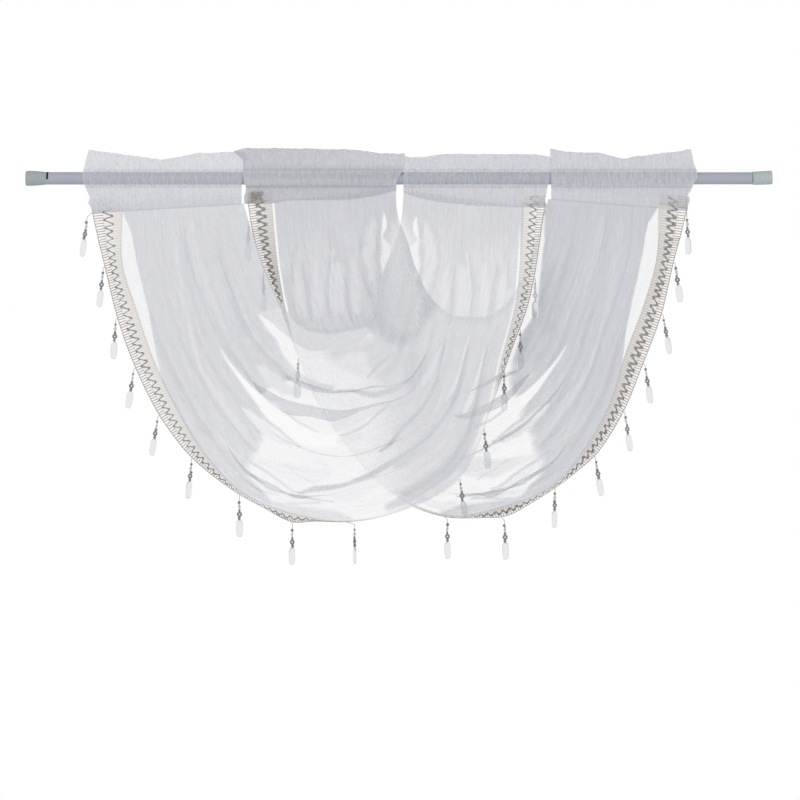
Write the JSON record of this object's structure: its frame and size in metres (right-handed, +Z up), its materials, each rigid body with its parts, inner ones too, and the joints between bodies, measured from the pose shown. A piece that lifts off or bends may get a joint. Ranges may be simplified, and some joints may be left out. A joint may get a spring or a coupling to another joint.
{
  "type": "pair of waterfall valances on a tension rod",
  "caption": "Sheer swagged waterfall valances with gathered rod-pocket headings and beaded braid hems, overlapping on a telescoping tension rod that presses between two walls.",
  "frame": {"origin": "centre of the left end cap's flat outer face, on the rod's axis", "axes": "+X along the rod towards its right end, +Z up, the front of the valances faces -Y"},
  "size_m": [1.194, 0.121, 0.6741],
  "materials": {
    "rod_tube": "satin blue-grey",
    "end_cap": "soft matt pale grey",
    "voile": "sheer crinkled white voile",
    "bead_braid": "cream woven braid with grey zigzag and clear bead pendants"
  },
  "bodies": {
    "root": {"rod_outer_tube": "rod_tube", "rod_inner_tube": "rod_tube", "end_cap_left": "end_cap", "end_cap_right": "end_cap", "valance_1_heading_left": "voile", "valance_1_heading_right": "voile", "valance_2_heading_left": "voile", "valance_2_heading_right": "voile", "valance_1_cloth": "voile", "valance_2_cloth": "voile", "valance_1_braid": "bead_braid", "valance_2_braid": "bead_braid"}
  },
  "joints": []
}
